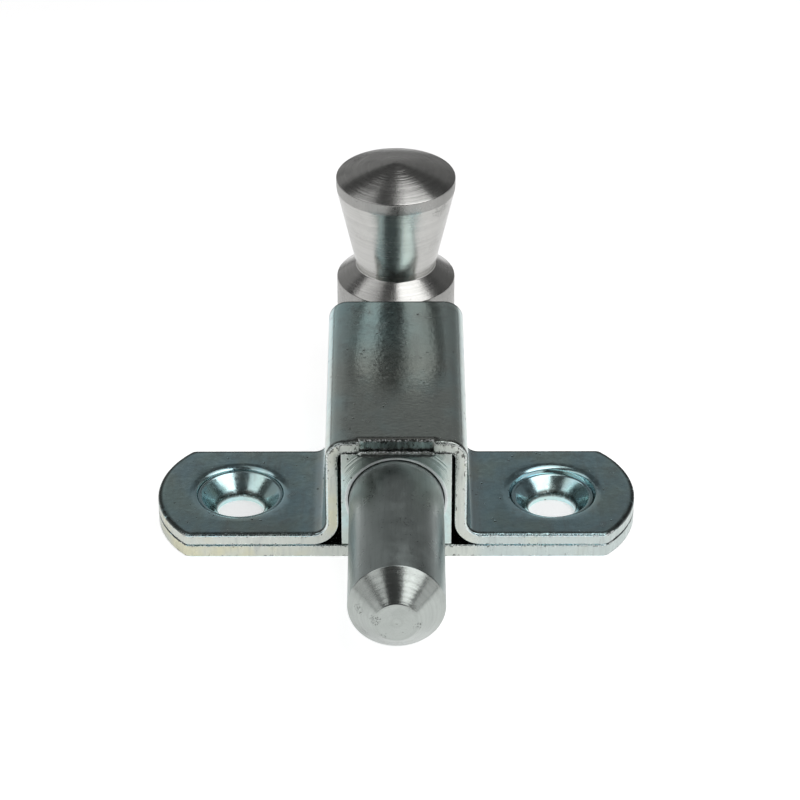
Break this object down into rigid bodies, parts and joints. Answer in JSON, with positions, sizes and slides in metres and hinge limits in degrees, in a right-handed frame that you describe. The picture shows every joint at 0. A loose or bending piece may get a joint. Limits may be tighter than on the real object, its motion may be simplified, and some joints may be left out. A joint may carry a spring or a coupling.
{
  "type": "spring door bolt",
  "caption": "Spring-loaded door bolt: a round bolt with a chamfered tip slides in a folded channel housing with two screw flanges and is drawn back by a turned knob.",
  "frame": {"origin": "on the mounting face, midway between the two screw holes", "axes": "+Z away from the door, -Y the way the bolt shoots, X along the flanges"},
  "size_m": [0.0618, 0.0766, 0.0342],
  "materials": {
    "zinc_plate": "bright zinc plated sheet steel, faintly blue, with scuffs and small pits",
    "bolt_steel": "ground steel bar with a turned tip",
    "knob_steel": "bright turned steel with fine tool marks",
    "spring_steel": "drawn spring wire"
  },
  "bodies": {
    "mounting": {"housing": "zinc_plate", "base_plate": "zinc_plate", "return_spring": "spring_steel"},
    "bolt": {"bolt_rod": "bolt_steel", "pull_knob": "knob_steel"}
  },
  "joints": [
    {"name": "bolt_pull", "type": "slide", "parent": "mounting", "child": "bolt", "axis": [0, 1, 0], "range_m": [0, 0.019], "stiffness_N_per_m": 1300, "springref_m": -0.006, "deforming": ["return_spring"]}
  ]
}
